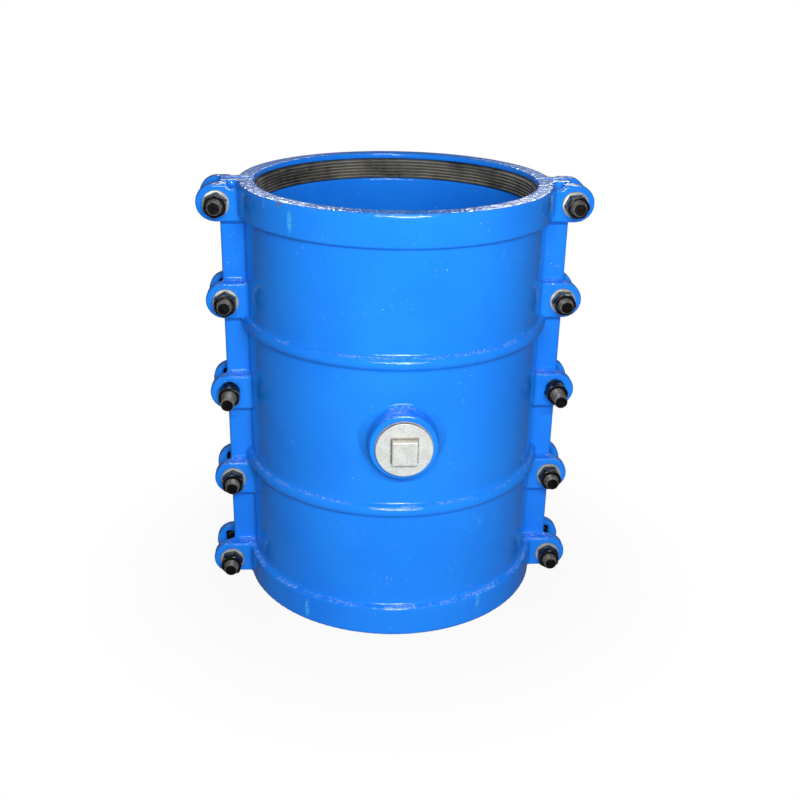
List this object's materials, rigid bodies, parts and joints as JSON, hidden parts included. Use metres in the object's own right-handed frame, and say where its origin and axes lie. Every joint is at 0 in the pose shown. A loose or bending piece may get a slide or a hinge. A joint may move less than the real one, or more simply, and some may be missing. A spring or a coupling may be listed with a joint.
{
  "type": "pipe repair clamp",
  "caption": "Split cast sleeve bolted round a pipe along two flanges, with a ribbed rubber ring in each end and a plugged outlet.",
  "frame": {"origin": "centre of the clamp on the axis of the pipe", "axes": "+Z along the pipe, upwards as it stands; +X to the right-hand bolts; the outlet faces -Y"},
  "size_m": [0.449, 0.3905, 0.494],
  "materials": {
    "blue_epoxy": "gloss epoxy over a casting",
    "black_steel": "blackened and oiled",
    "zinc_washer": "dull zinc plate",
    "galvanised_iron": "hot dip galvanised",
    "black_rubber": "dusty matt",
    "seal_fibre": "matt"
  },
  "bodies": {
    "front_half": {"front_shell": "blue_epoxy", "upper_ring": "black_rubber", "lower_ring": "black_rubber", "left_strip_seal": "black_rubber", "right_strip_seal": "black_rubber", "washer_left_1": "zinc_washer", "washer_left_2": "zinc_washer", "washer_left_4": "zinc_washer", "washer_left_5": "zinc_washer", "washer_right_1": "zinc_washer", "washer_right_2": "zinc_washer", "washer_right_4": "zinc_washer", "washer_right_5": "zinc_washer"},
    "back_half": {"back_shell": "blue_epoxy", "bolt_left_1": "black_steel", "bolt_left_2": "black_steel", "bolt_left_3": "black_steel", "bolt_left_4": "black_steel", "bolt_left_5": "black_steel", "bolt_right_1": "black_steel", "bolt_right_2": "black_steel", "bolt_right_3": "black_steel", "bolt_right_4": "black_steel", "bolt_right_5": "black_steel"},
    "plug_seal": {"plug_seal": "seal_fibre"},
    "outlet_plug": {"outlet_plug": "galvanised_iron"},
    "nut_left_1": {"nut_left_1": "black_steel"},
    "nut_left_2": {"nut_left_2": "black_steel"},
    "nut_left_3": {"nut_left_3": "black_steel"},
    "nut_left_4": {"nut_left_4": "black_steel"},
    "nut_left_5": {"nut_left_5": "black_steel"},
    "nut_right_1": {"nut_right_1": "black_steel"},
    "nut_right_2": {"nut_right_2": "black_steel"},
    "nut_right_3": {"nut_right_3": "black_steel"},
    "nut_right_4": {"nut_right_4": "black_steel"},
    "nut_right_5": {"nut_right_5": "black_steel"}
  },
  "joints": [
    {"name": "clamp_open", "type": "slide", "parent": "front_half", "child": "back_half", "axis": [0, 1, 0], "range_m": [0, 0.01]},
    {"name": "plug_out", "type": "slide", "parent": "front_half", "child": "plug_seal", "axis": [0, -1, 0], "range_m": [0, 0.021]},
    {"name": "plug_turn", "type": "hinge", "parent": "plug_seal", "child": "outlet_plug", "pos_m": [0, -0.195, 0], "axis": [0, -1, 0], "range_deg": [0, 3276]},
    {"name": "nut_left_1_turn", "type": "hinge", "parent": "front_half", "child": "nut_left_1", "pos_m": [-0.2015, -0.031, 0.2243], "axis": [0, -1, 0], "range_deg": [0, 1801]},
    {"name": "nut_left_2_turn", "type": "hinge", "parent": "front_half", "child": "nut_left_2", "pos_m": [-0.1955, -0.031, 0.1108], "axis": [0, -1, 0], "range_deg": [0, 1801]},
    {"name": "nut_left_3_turn", "type": "hinge", "parent": "front_half", "child": "nut_left_3", "pos_m": [-0.1955, -0.031, -0.0027], "axis": [0, -1, 0], "range_deg": [0, 1801]},
    {"name": "nut_left_4_turn", "type": "hinge", "parent": "front_half", "child": "nut_left_4", "pos_m": [-0.1955, -0.031, -0.1162], "axis": [0, -1, 0], "range_deg": [0, 1801]},
    {"name": "nut_left_5_turn", "type": "hinge", "parent": "front_half", "child": "nut_left_5", "pos_m": [-0.2015, -0.031, -0.2297], "axis": [0, -1, 0], "range_deg": [0, 1801]},
    {"name": "nut_right_1_turn", "type": "hinge", "parent": "front_half", "child": "nut_right_1", "pos_m": [0.2015, -0.031, 0.2243], "axis": [0, -1, 0], "range_deg": [0, 1801]},
    {"name": "nut_right_2_turn", "type": "hinge", "parent": "front_half", "child": "nut_right_2", "pos_m": [0.1955, -0.031, 0.1108], "axis": [0, -1, 0], "range_deg": [0, 1801]},
    {"name": "nut_right_3_turn", "type": "hinge", "parent": "front_half", "child": "nut_right_3", "pos_m": [0.1955, -0.031, -0.0027], "axis": [0, -1, 0], "range_deg": [0, 1801]},
    {"name": "nut_right_4_turn", "type": "hinge", "parent": "front_half", "child": "nut_right_4", "pos_m": [0.1955, -0.031, -0.1162], "axis": [0, -1, 0], "range_deg": [0, 1801]},
    {"name": "nut_right_5_turn", "type": "hinge", "parent": "front_half", "child": "nut_right_5", "pos_m": [0.2015, -0.031, -0.2297], "axis": [0, -1, 0], "range_deg": [0, 1801]}
  ],
  "couplings": [
    {"joint": "plug_turn", "follows": "plug_out", "rad_per_m": 2721.1},
    {"joint": "nut_left_1_turn", "follows": "clamp_open", "rad_per_m": 3141.6},
    {"joint": "nut_left_2_turn", "follows": "clamp_open", "rad_per_m": 3141.6},
    {"joint": "nut_left_3_turn", "follows": "clamp_open", "rad_per_m": 3141.6},
    {"joint": "nut_left_4_turn", "follows": "clamp_open", "rad_per_m": 3141.6},
    {"joint": "nut_left_5_turn", "follows": "clamp_open", "rad_per_m": 3141.6},
    {"joint": "nut_right_1_turn", "follows": "clamp_open", "rad_per_m": 3141.6},
    {"joint": "nut_right_2_turn", "follows": "clamp_open", "rad_per_m": 3141.6},
    {"joint": "nut_right_3_turn", "follows": "clamp_open", "rad_per_m": 3141.6},
    {"joint": "nut_right_4_turn", "follows": "clamp_open", "rad_per_m": 3141.6},
    {"joint": "nut_right_5_turn", "follows": "clamp_open", "rad_per_m": 3141.6}
  ]
}
